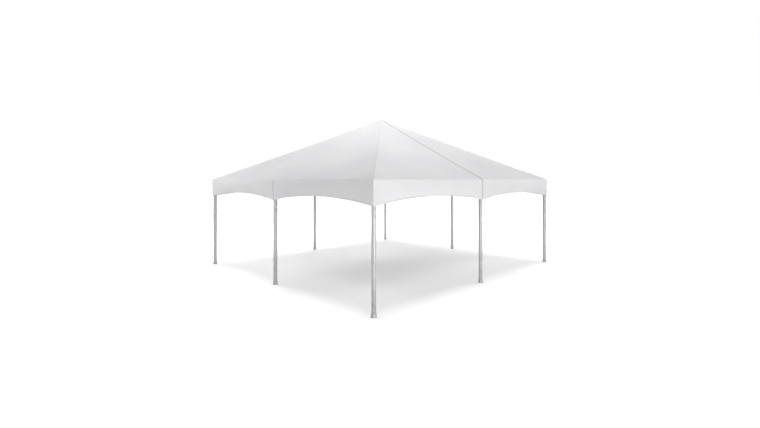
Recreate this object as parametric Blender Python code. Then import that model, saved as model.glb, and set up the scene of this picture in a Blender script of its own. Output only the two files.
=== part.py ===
"""Frame marquee, 20 ft by 20 ft: a pyramid roof with a scalloped valance, on a tubular aluminium frame.

Metres, +Z up. The origin is on the ground under the peak, the front is -Y and the right side is +X.
"""

import math

import bmesh
import bpy
from mathutils import Matrix, Vector

# Driving dimensions
SIDE = 6.096  # across the valance, 20 ft
EAVE_HEIGHT = 2.150  # the roof's outer edge, about 7 ft
PEAK_HEIGHT = 3.680  # the roof's point, about 12 ft
VALANCE_DROP_AT_POST = 0.420
VALANCE_DROP_AT_BAY = 0.300  # at the top of each arch
CLOTH = 0.004  # the cover's thickness as a solid
CLEARANCE = 0.0003  # between pieces that touch

# Tubes and slip fittings
TUBE_RADIUS = 0.038  # 76 mm tube
TUBE_WALL = 0.003
SOCKET_RADIUS = TUBE_RADIUS + CLEARANCE
ARM_RADIUS = 0.043  # a fitting's sleeve for a rail or rafter
POST_SLEEVE_RADIUS = 0.045  # a fitting's sleeve for a leg
CAP_RADIUS = 0.046  # from the frame's axes to the cap faces that carry the cover
CROWN_HUB_RADIUS = 0.062
CROWN_HUB_DEPTH = 0.075
HUB_RISE = 0.080  # a hub is made this much too high and is cut by the roof's planes
SLEEVE_LENGTH = 0.280  # from a fitting's centre to a sleeve's mouth
SOCKET_START = 0.120  # from a fitting's centre to the stop that a tube ends at
OVERCUT = 0.010

# Feet
FOOT_PLATE_RADIUS = 0.050
FOOT_PLATE_THICKNESS = 0.008
FOOT_CUP_RADIUS = 0.044
FOOT_HEIGHT = 0.065

SIDES = 16  # of every round piece, a multiple of 4 so that tubes and sockets line up
ARCH_SEGMENTS = 12  # in each bay of the valance
MERGE = 1e-6

# Sizes that follow
HALF = SIDE / 2
PITCH = math.atan2(PEAK_HEIGHT - EAVE_HEIGHT, HALF)
AXIS_OFFSET = CLOTH + CLEARANCE + CAP_RADIUS  # from the cover's outer faces to the frame's axes
FRAME_HALF = HALF - AXIS_OFFSET
FRAME_EAVE = EAVE_HEIGHT + AXIS_OFFSET * (math.tan(PITCH) - 1 / math.cos(PITCH))
FRAME_PEAK = FRAME_EAVE + FRAME_HALF * math.tan(PITCH)

UP = Vector((0, 0, 1))
DOWN = -UP
QUARTER = math.pi / 2

# The four sides, each turned about the peak from the front, with the corner at its left end
SIDE_NAMES = ("front", "right", "back", "left")
CORNER_NAMES = ("front_left", "front_right", "back_right", "back_left")


def material(name, colour, roughness, metallic):
    """A plain Principled BSDF finish."""
    finish = bpy.data.materials.new(name)
    finish.use_nodes = True
    shader = finish.node_tree.nodes["Principled BSDF"]
    shader.inputs["Base Color"].default_value = (*colour, 1)
    shader.inputs["Roughness"].default_value = roughness
    shader.inputs["Metallic"].default_value = metallic
    finish.diffuse_color = (*colour, 1)
    return finish


def group(name):
    """An empty that sub-parts are parented to."""
    empty = bpy.data.objects.new(name, None)
    bpy.context.scene.collection.objects.link(empty)
    return empty


def add_object(name, mesh, parent, finish, placing):
    """Shows a mesh as one sub-part, smooth on its round faces."""
    piece = bpy.data.objects.new(name, mesh)
    bpy.context.scene.collection.objects.link(piece)
    piece.parent = parent
    piece.matrix_world = placing
    mesh.materials.append(finish)
    mesh.shade_smooth()
    mesh.set_sharp_from_angle(angle=math.radians(30))
    return piece


def finished_mesh(name, bm):
    """The mesh of a bmesh whose faces are turned to point out."""
    bmesh.ops.recalc_face_normals(bm, faces=bm.faces)
    mesh = bpy.data.meshes.new(name)
    bm.to_mesh(mesh)
    bm.free()
    return mesh


def axes_along(place, direction):
    """A placing whose Z axis points along direction, so that tubes and sockets share their flats."""
    along = Vector(direction).normalized()
    across = along.cross(UP)
    if across.length < MERGE:
        across = Vector((1, 0, 0))
    across.normalize()
    upward = along.cross(across)
    turn = Matrix((across, upward, along)).transposed().to_4x4()
    return Matrix.Translation(place) @ turn


def turn_profile(bm, profile, closed, placing):
    """Spins a profile of (radius, height) points about its Z axis into bm."""
    before = set(bm.verts)
    points = [bm.verts.new((radius, 0, height)) for radius, height in profile]
    pairs = list(zip(points, points[1:]))
    if closed:
        pairs.append((points[-1], points[0]))
    edges = [bm.edges.new(pair) for pair in pairs]
    bmesh.ops.spin(
        bm,
        geom=points + edges,
        cent=(0, 0, 0),
        axis=UP,
        angle=2 * math.pi,
        steps=SIDES,
    )
    made = [vert for vert in bm.verts if vert not in before]
    bmesh.ops.remove_doubles(bm, verts=made, dist=MERGE)
    made = [vert for vert in bm.verts if vert not in before]
    bmesh.ops.transform(bm, matrix=placing, verts=made)


def turn_rod(bm, radius, start, end, direction):
    """Adds a solid round bar along direction, from start to end metres out from the centre."""
    profile = ((0, start), (radius, start), (radius, end), (0, end))
    turn_profile(bm, profile, False, axes_along((0, 0, 0), direction))


def add_tube(name, start, end, parent, finish):
    """A hollow round tube between two points, open at both ends."""
    span = Vector(end) - Vector(start)
    inner = TUBE_RADIUS - TUBE_WALL
    profile = (
        (TUBE_RADIUS, 0),
        (TUBE_RADIUS, span.length),
        (inner, span.length),
        (inner, 0),
    )
    bm = bmesh.new()
    turn_profile(bm, profile, True, Matrix.Identity(4))
    return add_object(name, finished_mesh(name, bm), parent, finish, axes_along(start, span))


def add_member(name, start, end, parent, finish):
    """A tube between two fittings' centres, which ends just short of the stop in each socket."""
    along = (Vector(end) - Vector(start)).normalized()
    short = along * (SOCKET_START + CLEARANCE)
    return add_tube(name, Vector(start) + short, Vector(end) - short, parent, finish)


def cut_above(bm, normal, distance):
    """Cuts off what lies beyond a plane and closes the cut."""
    cut = bmesh.ops.bisect_plane(
        bm,
        geom=bm.verts[:] + bm.edges[:] + bm.faces[:],
        dist=MERGE,
        plane_co=normal * distance,
        plane_no=normal,
        clear_outer=True,
    )
    rim = [item for item in cut["geom_cut"] if isinstance(item, bmesh.types.BMEdge)]
    bmesh.ops.holes_fill(bm, edges=rim, sides=0)


def roof_normal(turns):
    """The outward normal of a roof side, counted in quarter turns from the front."""
    front = Vector((0, -math.sin(PITCH), math.cos(PITCH)))
    return Matrix.Rotation(turns * QUARTER, 3, "Z") @ front


def add_fitting(name, place, hub, arms, roof_turns, parent, finish):
    """A slip fitting: a hub with a cap in the roof's pitch, and a sleeve with a socket for each tube.

    hub is (radius, depth below the centre). arms are the directions of the tubes, and DOWN is a leg,
    whose sleeve is the hub itself.
    """
    hub_radius, hub_depth = hub
    body = bmesh.new()
    turn_rod(body, hub_radius, -hub_depth, HUB_RISE, UP)
    for turns in roof_turns:
        cut_above(body, roof_normal(turns), CAP_RADIUS)
    sockets = bmesh.new()
    for arm in arms:
        if arm != DOWN:
            turn_rod(body, ARM_RADIUS, 0, SLEEVE_LENGTH, arm)
        turn_rod(sockets, SOCKET_RADIUS, SOCKET_START, SLEEVE_LENGTH + OVERCUT, arm)

    placing = Matrix.Translation(place)
    cutter = bpy.data.objects.new(name + "_sockets", finished_mesh(name + "_sockets", sockets))
    bpy.context.scene.collection.objects.link(cutter)
    cutter.parent = parent
    cutter.matrix_world = placing
    cutter.hide_render = True
    cutter.display_type = "WIRE"

    fitting = add_object(name, finished_mesh(name, body), parent, finish, placing)
    bored = fitting.modifiers.new("sockets", "BOOLEAN")
    bored.operation = "DIFFERENCE"
    bored.solver = "EXACT"
    bored.use_self = True
    bored.object = cutter
    return fitting


def add_foot(name, place, parent, finish):
    """A round plate with a cup that a leg stands in."""
    profile = (
        (0, 0),
        (FOOT_PLATE_RADIUS, 0),
        (FOOT_PLATE_RADIUS, FOOT_PLATE_THICKNESS),
        (FOOT_CUP_RADIUS, FOOT_PLATE_THICKNESS),
        (FOOT_CUP_RADIUS, FOOT_HEIGHT),
        (SOCKET_RADIUS, FOOT_HEIGHT),
        (SOCKET_RADIUS, FOOT_PLATE_THICKNESS),
        (0, FOOT_PLATE_THICKNESS),
    )
    bm = bmesh.new()
    turn_profile(bm, profile, False, Matrix.Identity(4))
    return add_object(name, finished_mesh(name, bm), parent, finish, Matrix.Translation(place))


def valance_edge(x):
    """The height of the valance's lower edge: a circular arch over each bay, with its feet at the posts."""
    rise = VALANCE_DROP_AT_POST - VALANCE_DROP_AT_BAY
    reach = HALF / 2
    radius = (reach**2 + rise**2) / (2 * rise)
    from_middle = abs(abs(x) - reach)
    arch = math.sqrt(radius**2 - from_middle**2) - (radius - rise)
    return EAVE_HEIGHT - VALANCE_DROP_AT_POST + arch


def cover_side_mesh(name):
    """The front side of the cover: its roof triangle with its hanging valance, mitred at both ends."""
    inner_eave = EAVE_HEIGHT + CLOTH * (math.tan(PITCH) - 1 / math.cos(PITCH))
    columns = []
    bm = bmesh.new()
    for step in range(2 * ARCH_SEGMENTS + 1):
        x = -HALF + SIDE * step / (2 * ARCH_SEGMENTS)
        low = valance_edge(x)
        section = (
            (-HALF, low),
            (-HALF, EAVE_HEIGHT),
            (0, PEAK_HEIGHT),
            (0, PEAK_HEIGHT - CLOTH / math.cos(PITCH)),
            (-HALF + CLOTH, inner_eave),
            (-HALF + CLOTH, low),
        )
        columns.append([bm.verts.new((x, y, z)) for y, z in section])
    for left, right in zip(columns, columns[1:]):
        for here in range(len(left)):
            after = (here + 1) % len(left)
            bm.faces.new((left[here], left[after], right[after], right[here]))
    bm.faces.new(columns[0])
    bm.faces.new(columns[-1])
    for across in (-1, 1):
        mitre = Vector((across, 1, 0)).normalized()
        cut_above(bm, mitre, -CLEARANCE / 2)
    bmesh.ops.dissolve_limit(
        bm,
        angle_limit=math.radians(0.1),
        verts=bm.verts,
        edges=bm.edges,
    )
    return finished_mesh(name, bm)


def corner_point(turns, height):
    """The frame's corner at the left end of a side, seen from outside."""
    return Matrix.Rotation(turns * QUARTER, 3, "Z") @ Vector((-FRAME_HALF, -FRAME_HALF, height))


def middle_point(turns, height):
    """The middle of a side of the frame."""
    return Matrix.Rotation(turns * QUARTER, 3, "Z") @ Vector((0, -FRAME_HALF, height))


def build():
    """Makes the marquee, side by side."""
    fabric = material("white_pvc_cover", (0.84, 0.85, 0.86), 0.45, 0.0)
    tube = material("aluminium_tube", (0.72, 0.73, 0.74), 0.35, 1.0)
    cast = material("galvanised_fitting", (0.55, 0.57, 0.58), 0.50, 1.0)
    base = material("galvanised_foot", (0.42, 0.43, 0.44), 0.55, 1.0)

    feet, frame, cover = group("feet"), group("frame"), group("cover")
    peak = Vector((0, 0, FRAME_PEAK))
    post_hub = (POST_SLEEVE_RADIUS, SLEEVE_LENGTH)
    crown_arms = []

    for turns, side in enumerate(SIDE_NAMES):
        near, far = CORNER_NAMES[turns], CORNER_NAMES[(turns + 1) % 4]
        corner, middle = corner_point(turns, FRAME_EAVE), middle_point(turns, FRAME_EAVE)
        next_corner = corner_point(turns + 1, FRAME_EAVE)
        before = corner_point(turns - 1, FRAME_EAVE)

        for name, top in ((near, corner), (side + "_middle", middle)):
            ground = Vector((top.x, top.y, 0))
            add_foot("foot_" + name, ground, feet, base)
            leg_foot = ground + UP * (FOOT_PLATE_THICKNESS + CLEARANCE)
            leg_top = top + DOWN * (SOCKET_START + CLEARANCE)
            add_tube("leg_" + name, leg_foot, leg_top, frame, tube)

        add_member(f"eave_rail_{side}_{near}", corner, middle, frame, tube)
        add_member(f"eave_rail_{side}_{far}", middle, next_corner, frame, tube)
        add_member("hip_rafter_" + near, corner, peak, frame, tube)
        add_member("mid_rafter_" + side, middle, peak, frame, tube)

        hip, slope = (peak - corner).normalized(), (peak - middle).normalized()
        crown_arms += [-hip, -slope]
        to_next, to_before = (next_corner - corner).normalized(), (before - corner).normalized()
        corner_arms = (DOWN, to_next, to_before, hip)
        add_fitting("corner_fitting_" + near, corner, post_hub, corner_arms, (turns, turns - 1), frame, cast)
        side_arms = (DOWN, to_next, -to_next, slope)
        add_fitting("side_fitting_" + side, middle, post_hub, side_arms, (turns,), frame, cast)

        turned = Matrix.Rotation(turns * QUARTER, 4, "Z")
        name = "cover_" + side
        add_object(name, cover_side_mesh(name), cover, fabric, turned)

    crown_hub = (CROWN_HUB_RADIUS, CROWN_HUB_DEPTH)
    add_fitting("crown_fitting", peak, crown_hub, crown_arms, range(4), frame, cast)


for old in list(bpy.data.objects):
    bpy.data.objects.remove(old)
build()
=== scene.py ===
"""Looks of the frame marquee: a white pyramid cover on a slip-fit aluminium frame, in a pale studio.

Metres, +Z up. The origin is on the ground under the peak, the front is -Y and the right side is +X.
What repeats is modelled on the front side or at the front left corner, and turned about the peak.
"""

import logging
import math
from collections.abc import Callable, Iterator, Sequence
from contextlib import contextmanager
from dataclasses import dataclass
from enum import Enum
from typing import NamedTuple

import bmesh
import bpy
import numpy as np
from bpy.types import ID, Material, Mesh, Node, NodeSocket, NodeTree, Object
from mathutils import Matrix, Vector


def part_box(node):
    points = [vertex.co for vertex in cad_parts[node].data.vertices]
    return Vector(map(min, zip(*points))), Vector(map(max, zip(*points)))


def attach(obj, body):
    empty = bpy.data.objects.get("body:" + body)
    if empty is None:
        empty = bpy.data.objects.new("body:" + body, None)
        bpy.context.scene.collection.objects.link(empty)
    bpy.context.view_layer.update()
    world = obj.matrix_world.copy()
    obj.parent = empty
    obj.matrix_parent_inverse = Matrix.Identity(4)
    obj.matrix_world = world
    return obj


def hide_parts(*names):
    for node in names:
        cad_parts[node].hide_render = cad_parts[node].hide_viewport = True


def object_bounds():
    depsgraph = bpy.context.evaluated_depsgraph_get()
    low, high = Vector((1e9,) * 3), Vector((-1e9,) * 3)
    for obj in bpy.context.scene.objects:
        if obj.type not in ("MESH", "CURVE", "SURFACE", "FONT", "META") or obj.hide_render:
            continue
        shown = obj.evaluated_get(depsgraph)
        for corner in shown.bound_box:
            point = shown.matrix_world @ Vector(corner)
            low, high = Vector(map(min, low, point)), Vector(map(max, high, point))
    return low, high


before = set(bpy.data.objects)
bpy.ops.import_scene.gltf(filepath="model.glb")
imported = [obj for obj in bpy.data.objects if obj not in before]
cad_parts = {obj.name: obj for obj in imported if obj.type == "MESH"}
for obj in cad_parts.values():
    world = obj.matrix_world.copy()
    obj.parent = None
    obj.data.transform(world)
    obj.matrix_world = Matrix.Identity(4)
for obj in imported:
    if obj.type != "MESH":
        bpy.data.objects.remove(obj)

CAD_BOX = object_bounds()
LOG = logging.getLogger("marquee")
MM = 0.001
UP = Vector((0, 0, 1))
DOWN = -UP
BODY = "root"
ROUND_MAP = "round"  # a map in metres round a tube and along it
CLOTH_MAP = "cloth"  # a map in metres of the cut cloth
WAVE_PERIOD = math.pi / 10  # a wave texture's period at scale 1
FACING = 0.9  # a face looks along an axis if its normal reaches further than this along it

Array = np.ndarray
Item = bmesh.types.BMFace | bmesh.types.BMEdge
Test = Callable[[Item], bool]
Profile = Sequence[tuple[float, float]]
Settings = dict[str | int, object]
Sockets = dict[str | int, NodeSocket]


class Quarter(Enum):
    """Places that are a quarter turn about the peak apart, numbered in those turns."""

    @property
    def label(self) -> str:
        """Its name in a piece's name."""
        return self.name.lower()

    @property
    def turn(self) -> Matrix:
        """Turns what is modelled at the front, or at the front left, to this place."""
        return Matrix.Rotation(self.value * math.pi / 2, 4, "Z")

    @classmethod
    def labels(cls) -> list[str]:
        """All the names, in quarter turns."""
        return [place.label for place in cls]


class Side(Quarter):
    """The four sides."""

    FRONT = 0
    RIGHT = 1
    BACK = 2
    LEFT = 3


class Corner(Quarter):
    """The four corners, each at the left end of a side seen from outside."""

    FRONT_LEFT = 0
    FRONT_RIGHT = 1
    BACK_RIGHT = 2
    BACK_LEFT = 3


class Slot(Enum):
    """The record's material slots."""

    CLOTH = "pvc_fabric"
    TUBE = "aluminium_tube"
    STEEL = "galvanised_steel"


class Kind(Enum):
    """What is picked in edit mode."""

    FACES = "FACE"
    EDGES = "EDGE"


class Change(Enum):
    """What a second piece does to a piece."""

    ADD = "UNION"
    CUT = "DIFFERENCE"


def linear(code: str) -> tuple[float, float, float, float]:
    """Turns an sRGB hex value into a linear colour.

    Args:
        code: Six hex digits after a #.

    Returns:
        Red, green, blue and an alpha of 1.
    """
    channels = [int(code[at : at + 2], 16) / 255 for at in (1, 3, 5)]
    red, green, blue = (c / 12.92 if c <= 0.04045 else ((c + 0.055) / 1.055) ** 2.4 for c in channels)
    return red, green, blue, 1.0


def feed(tree: NodeTree, node: Node, links: Sockets) -> None:
    """Links sockets to a node's inputs.

    Args:
        tree: The node tree.
        node: The node.
        links: The sockets that feed it, by the input's name or number.
    """
    for key, socket in links.items():
        tree.links.new(socket, node.inputs[key])


def add_node(
    tree: NodeTree, kind: str, settings: Settings | None = None, links: Sockets | None = None
) -> Node:
    """Adds a node with its settings and links.

    Args:
        tree: The node tree it goes in.
        kind: Its type.
        settings: Values by the name of a property, in lower case, or by the name or number of an input.
        links: The sockets that feed its inputs, by the input's name or number.

    Returns:
        The node.
    """
    node = tree.nodes.new(kind)
    for key, value in (settings or {}).items():
        if isinstance(key, str) and key.islower():
            setattr(node, key, value)
        else:
            node.inputs[key].default_value = value
    feed(tree, node, links or {})
    return node


def new_material(name: str, **values: object) -> tuple[Material, NodeTree, Node]:
    """Starts a material.

    Args:
        name: Its name.
        **values: What is the same all over the surface, by the shader's input, with _ for a space.

    Returns:
        The material, its node tree and its Principled shader.
    """
    material = bpy.data.materials.new(name)
    material.use_nodes = True
    shader = material.node_tree.nodes["Principled BSDF"]
    for key, value in values.items():
        shader.inputs[key.replace("_", " ")].default_value = value
    return material, material.node_tree, shader


@dataclass(frozen=True)
class CoatedCloth:
    """Polyester scrim coated with white PVC and lacquered.

    It is an even, slightly cool white with a dull sheen. The scrim prints through as a faint grid, the
    cloth never lies quite flat, and a little light comes through.
    """

    name: str = "white_pvc_coated_polyester"
    colour: str = "#E9E9EA"
    shade: str = "#E4E4E6"
    roughness: float = 0.60
    see_through: float = 0.22
    scrim_mm: float = 9.0  # the threads are 1 mm apart, too fine to show, so the grid is drawn this coarse
    cloud_mm: float = 1250.0  # of the faint clouds in its white
    rub_mm: float = 200.0  # of the patches that folding has dulled
    ripple_mm: float = 240.0  # of the slack between threads that were stretched unevenly

    def make(self) -> Material:
        """Makes the material.

        Returns:
            The material.
        """
        material, tree, shader = new_material(self.name, IOR=1.5)
        solid = add_node(tree, "ShaderNodeTexCoord").outputs["Object"]
        wide = {"Scale": 1 / (self.cloud_mm * MM), "Detail": 3.0}
        clouds = add_node(tree, "ShaderNodeTexNoise", wide, {"Vector": solid}).outputs[0]
        blend = add_node(tree, "ShaderNodeMapRange", {"From Min": 0.35, "From Max": 0.65}, {"Value": clouds})
        tones = {"data_type": "RGBA", 6: linear(self.colour), 7: linear(self.shade)}
        colour = add_node(tree, "ShaderNodeMix", tones, {0: blend.outputs[0]}).outputs[2]
        handled = {"Scale": 1 / (self.rub_mm * MM), "Detail": 4.0}
        rub = add_node(tree, "ShaderNodeTexNoise", handled, {"Vector": solid}).outputs[0]
        low, high = self.roughness - 0.05, self.roughness + 0.06
        worn = {"From Min": 0.3, "From Max": 0.7, "To Min": low, "To Max": high}
        roughness = add_node(tree, "ShaderNodeMapRange", worn, {"Value": rub}).outputs[0]

        cut = add_node(tree, "ShaderNodeUVMap", {"uv_map": CLOTH_MAP}).outputs["UV"]
        scale = WAVE_PERIOD / (self.scrim_mm * MM)
        threads = {}
        for number, way in enumerate("XY"):
            settings = {"bands_direction": way, "Scale": scale}
            threads[number] = add_node(tree, "ShaderNodeTexWave", settings, {"Vector": cut}).outputs[1]
        weave = add_node(tree, "ShaderNodeMath", {"operation": "ADD"}, threads).outputs[0]
        depth = {"Strength": 0.35, "Distance": 0.08 * MM}
        printed = add_node(tree, "ShaderNodeBump", depth, {"Height": weave}).outputs[0]
        slack = {"Scale": 1 / (self.ripple_mm * MM), "Detail": 2.0, "Roughness": 0.4}
        ripples = add_node(tree, "ShaderNodeTexNoise", slack, {"Vector": solid}).outputs[0]
        depth = {"Strength": 1.0, "Distance": 2.0 * MM}
        bumps = add_node(tree, "ShaderNodeBump", depth, {"Height": ripples, "Normal": printed}).outputs[0]

        feed(tree, shader, {"Base Color": colour, "Roughness": roughness, "Normal": bumps})
        glow = add_node(tree, "ShaderNodeBsdfTranslucent", links={"Color": colour, "Normal": bumps})
        both = {1: shader.outputs[0], 2: glow.outputs[0]}
        mixed = add_node(tree, "ShaderNodeMixShader", {0: self.see_through}, both)
        feed(tree, tree.nodes["Material Output"], {"Surface": mixed.outputs[0]})
        return material


@dataclass(frozen=True)
class PvcTrim:
    """Moulded soft PVC of a joining cord or a welded hem: smooth and faintly marked, with no weave."""

    name: str
    colour: str
    shade: str
    roughness: float
    mark_mm: float = 71.43  # of handling marks
    grain_mm: float = 4.0  # of the moulded skin

    def make(self) -> Material:
        """Makes the material.

        Returns:
            The material.
        """
        material, tree, shader = new_material(self.name, IOR=1.52)
        solid = add_node(tree, "ShaderNodeTexCoord").outputs["Object"]
        handled = {"Scale": 1 / (self.mark_mm * MM), "Detail": 4.0}
        marks = add_node(tree, "ShaderNodeTexNoise", handled, {"Vector": solid}).outputs[0]
        blend = add_node(tree, "ShaderNodeMapRange", {"From Min": 0.3, "From Max": 0.7}, {"Value": marks})
        tones = {"data_type": "RGBA", 6: linear(self.colour), 7: linear(self.shade)}
        colour = add_node(tree, "ShaderNodeMix", tones, {0: blend.outputs[0]}).outputs[2]
        low, high = self.roughness - 0.06, self.roughness + 0.08
        worn = {"From Min": 0.3, "From Max": 0.7, "To Min": low, "To Max": high}
        roughness = add_node(tree, "ShaderNodeMapRange", worn, {"Value": marks}).outputs[0]
        fine = {"Scale": 1 / (self.grain_mm * MM), "Detail": 2.0}
        grain = add_node(tree, "ShaderNodeTexNoise", fine, {"Vector": solid}).outputs[0]
        depth = {"Strength": 0.3, "Distance": 0.2 * MM}
        bumps = add_node(tree, "ShaderNodeBump", depth, {"Height": grain}).outputs[0]
        feed(tree, shader, {"Base Color": colour, "Roughness": roughness, "Normal": bumps})
        return material


@dataclass(frozen=True)
class AnodisedAluminium:
    """Drawn aluminium tube with a matt clear anodised skin.

    It is a soft, pale grey silver with no sharp reflections. Drawing leaves fine lines along the tube, and
    handling leaves faint dull scuffs.
    """

    name: str = "matt_anodised_aluminium"
    colour: str = "#C6C7C8"
    scuffed: str = "#BCBDBE"
    roughness: float = 0.56
    line_mm: float = 2.5  # drawing lines are 0.2 mm apart, drawn this coarse so that they show
    line_length_mm: float = 700.0
    scuff_mm: float = 111.1  # of the scuffs that handling leaves
    scuff_gain: float = 0.14  # of the roughness, at a scuff

    def make(self) -> Material:
        """Makes the material.

        Returns:
            The material.
        """
        material, tree, shader = new_material(self.name, Metallic=1.0)
        around = add_node(tree, "ShaderNodeUVMap", {"uv_map": ROUND_MAP}).outputs["UV"]
        solid = add_node(tree, "ShaderNodeTexCoord").outputs["Object"]
        fine = (1 / (self.line_mm * MM), 1 / (self.line_length_mm * MM), 1.0)
        drawn = add_node(tree, "ShaderNodeMapping", {"Scale": fine}, {"Vector": around}).outputs[0]
        even = {"Scale": 1.0, "Detail": 3.0}
        lines = add_node(tree, "ShaderNodeTexNoise", even, {"Vector": drawn}).outputs[0]
        handled = {"Scale": 1 / (self.scuff_mm * MM), "Detail": 6.0}
        scuffs = add_node(tree, "ShaderNodeTexNoise", handled, {"Vector": solid}).outputs[0]
        ends = {"From Min": 0.5, "From Max": 0.75}
        worn = add_node(tree, "ShaderNodeMapRange", ends, {"Value": scuffs}).outputs[0]
        tones = {"data_type": "RGBA", 6: linear(self.colour), 7: linear(self.scuffed)}
        colour = add_node(tree, "ShaderNodeMix", tones, {0: worn}).outputs[2]
        low, high = self.roughness - 0.05, self.roughness + 0.06
        ends = {"From Min": 0.25, "From Max": 0.75, "To Min": low, "To Max": high}
        streaked = add_node(tree, "ShaderNodeMapRange", ends, {"Value": lines}).outputs[0]
        more = {"operation": "MULTIPLY_ADD", 1: self.scuff_gain}
        roughness = add_node(tree, "ShaderNodeMath", more, {0: worn, 2: streaked}).outputs[0]
        depth = {"Strength": 0.25, "Distance": 0.1 * MM}
        bumps = add_node(tree, "ShaderNodeBump", depth, {"Height": lines}).outputs[0]
        feed(tree, shader, {"Base Color": colour, "Roughness": roughness, "Normal": bumps})
        return material


@dataclass(frozen=True)
class GalvanisedSteel:
    """Welded steel, hot-dip galvanised: a grey zinc skin with flat crystals of differing shade and gloss."""

    name: str = "hot_dip_galvanised_steel"
    colour: str = "#C9CBCC"
    dull: str = "#AFB1B3"
    roughness: float = 0.50
    crystal_mm: float = 11.0
    crystal_share: float = 0.6  # of the pattern; the rest is a cloudy film
    film_mm: float = 38.46  # of the film's clouds

    def make(self) -> Material:
        """Makes the material.

        Returns:
            The material.
        """
        material, tree, shader = new_material(self.name, Metallic=1.0)
        solid = add_node(tree, "ShaderNodeTexCoord").outputs["Object"]
        grown = {"Scale": 1 / (self.crystal_mm * MM)}
        crystals = add_node(tree, "ShaderNodeTexVoronoi", grown, {"Vector": solid}).outputs["Color"]
        level = add_node(tree, "ShaderNodeSeparateColor", links={0: crystals}).outputs[0]
        dulled = {"Scale": 1 / (self.film_mm * MM), "Detail": 5.0}
        film = add_node(tree, "ShaderNodeTexNoise", dulled, {"Vector": solid}).outputs[0]
        more = {"operation": "MULTIPLY_ADD", 1: self.crystal_share}
        both = add_node(tree, "ShaderNodeMath", more, {0: level, 2: film}).outputs[0]
        blend = add_node(tree, "ShaderNodeMapRange", {"From Min": 0.35, "From Max": 1.15}, {"Value": both})
        tones = {"data_type": "RGBA", 6: linear(self.colour), 7: linear(self.dull)}
        colour = add_node(tree, "ShaderNodeMix", tones, {0: blend.outputs[0]}).outputs[2]
        low, high = self.roughness - 0.08, self.roughness + 0.14
        gloss = {"From Min": 0.35, "From Max": 1.15, "To Min": low, "To Max": high}
        roughness = add_node(tree, "ShaderNodeMapRange", gloss, {"Value": both}).outputs[0]
        depth = {"Strength": 0.3, "Distance": 0.15 * MM}
        bumps = add_node(tree, "ShaderNodeBump", depth, {"Height": both}).outputs[0]
        feed(tree, shader, {"Base Color": colour, "Roughness": roughness, "Normal": bumps})
        return material


@dataclass(frozen=True)
class ZincPlate:
    """Bright zinc-plated steel of pins, rings and buckles: smooth, faintly blue, with fine rubbed patches."""

    name: str = "bright_zinc_plated_steel"
    colour: str = "#CBD0D6"
    rubbed: str = "#AEB4BB"
    roughness: float = 0.24
    rub_mm: float = 8.333  # of the rubbed patches

    def make(self) -> Material:
        """Makes the material.

        Returns:
            The material.
        """
        material, tree, shader = new_material(self.name, Metallic=1.0)
        solid = add_node(tree, "ShaderNodeTexCoord").outputs["Object"]
        handled = {"Scale": 1 / (self.rub_mm * MM), "Detail": 5.0}
        rubs = add_node(tree, "ShaderNodeTexNoise", handled, {"Vector": solid}).outputs[0]
        blend = add_node(tree, "ShaderNodeMapRange", {"From Min": 0.4, "From Max": 0.7}, {"Value": rubs})
        tones = {"data_type": "RGBA", 6: linear(self.colour), 7: linear(self.rubbed)}
        colour = add_node(tree, "ShaderNodeMix", tones, {0: blend.outputs[0]}).outputs[2]
        low, high = self.roughness - 0.05, self.roughness + 0.12
        gloss = {"From Min": 0.3, "From Max": 0.7, "To Min": low, "To Max": high}
        roughness = add_node(tree, "ShaderNodeMapRange", gloss, {"Value": rubs}).outputs[0]
        feed(tree, shader, {"Base Color": colour, "Roughness": roughness})
        return material


@dataclass(frozen=True)
class Webbing:
    """Woven polyester webbing: matt white yarn in flat ribs across the band, with painted shade in the
    grooves between them.
    """

    name: str = "woven_polyester_webbing"
    colour: str = "#D5D6D6"
    # painted shade in the grooves between ribs
    groove_shade: str = "#B9BBBC"
    rib_mm: float = 2.2  # from rib to rib

    def make(self) -> Material:
        """Makes the material.

        Returns:
            The material.
        """
        material, tree, shader = new_material(self.name, Roughness=0.85, IOR=1.5)
        cut = add_node(tree, "ShaderNodeUVMap", {"uv_map": CLOTH_MAP}).outputs["UV"]
        scale = WAVE_PERIOD / (self.rib_mm * MM)
        settings = {"bands_direction": "DIAGONAL", "Scale": scale, "Distortion": 1.2, "Detail": 2.0}
        ribs = add_node(tree, "ShaderNodeTexWave", settings, {"Vector": cut}).outputs[1]
        # darker in the grooves between ribs: painted shade
        tones = {"data_type": "RGBA", 6: linear(self.groove_shade), 7: linear(self.colour)}
        colour = add_node(tree, "ShaderNodeMix", tones, {0: ribs}).outputs[2]
        depth = {"Strength": 0.6, "Distance": 0.3 * MM}
        bumps = add_node(tree, "ShaderNodeBump", depth, {"Height": ribs}).outputs[0]
        feed(tree, shader, {"Base Color": colour, "Normal": bumps})
        return material


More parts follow.
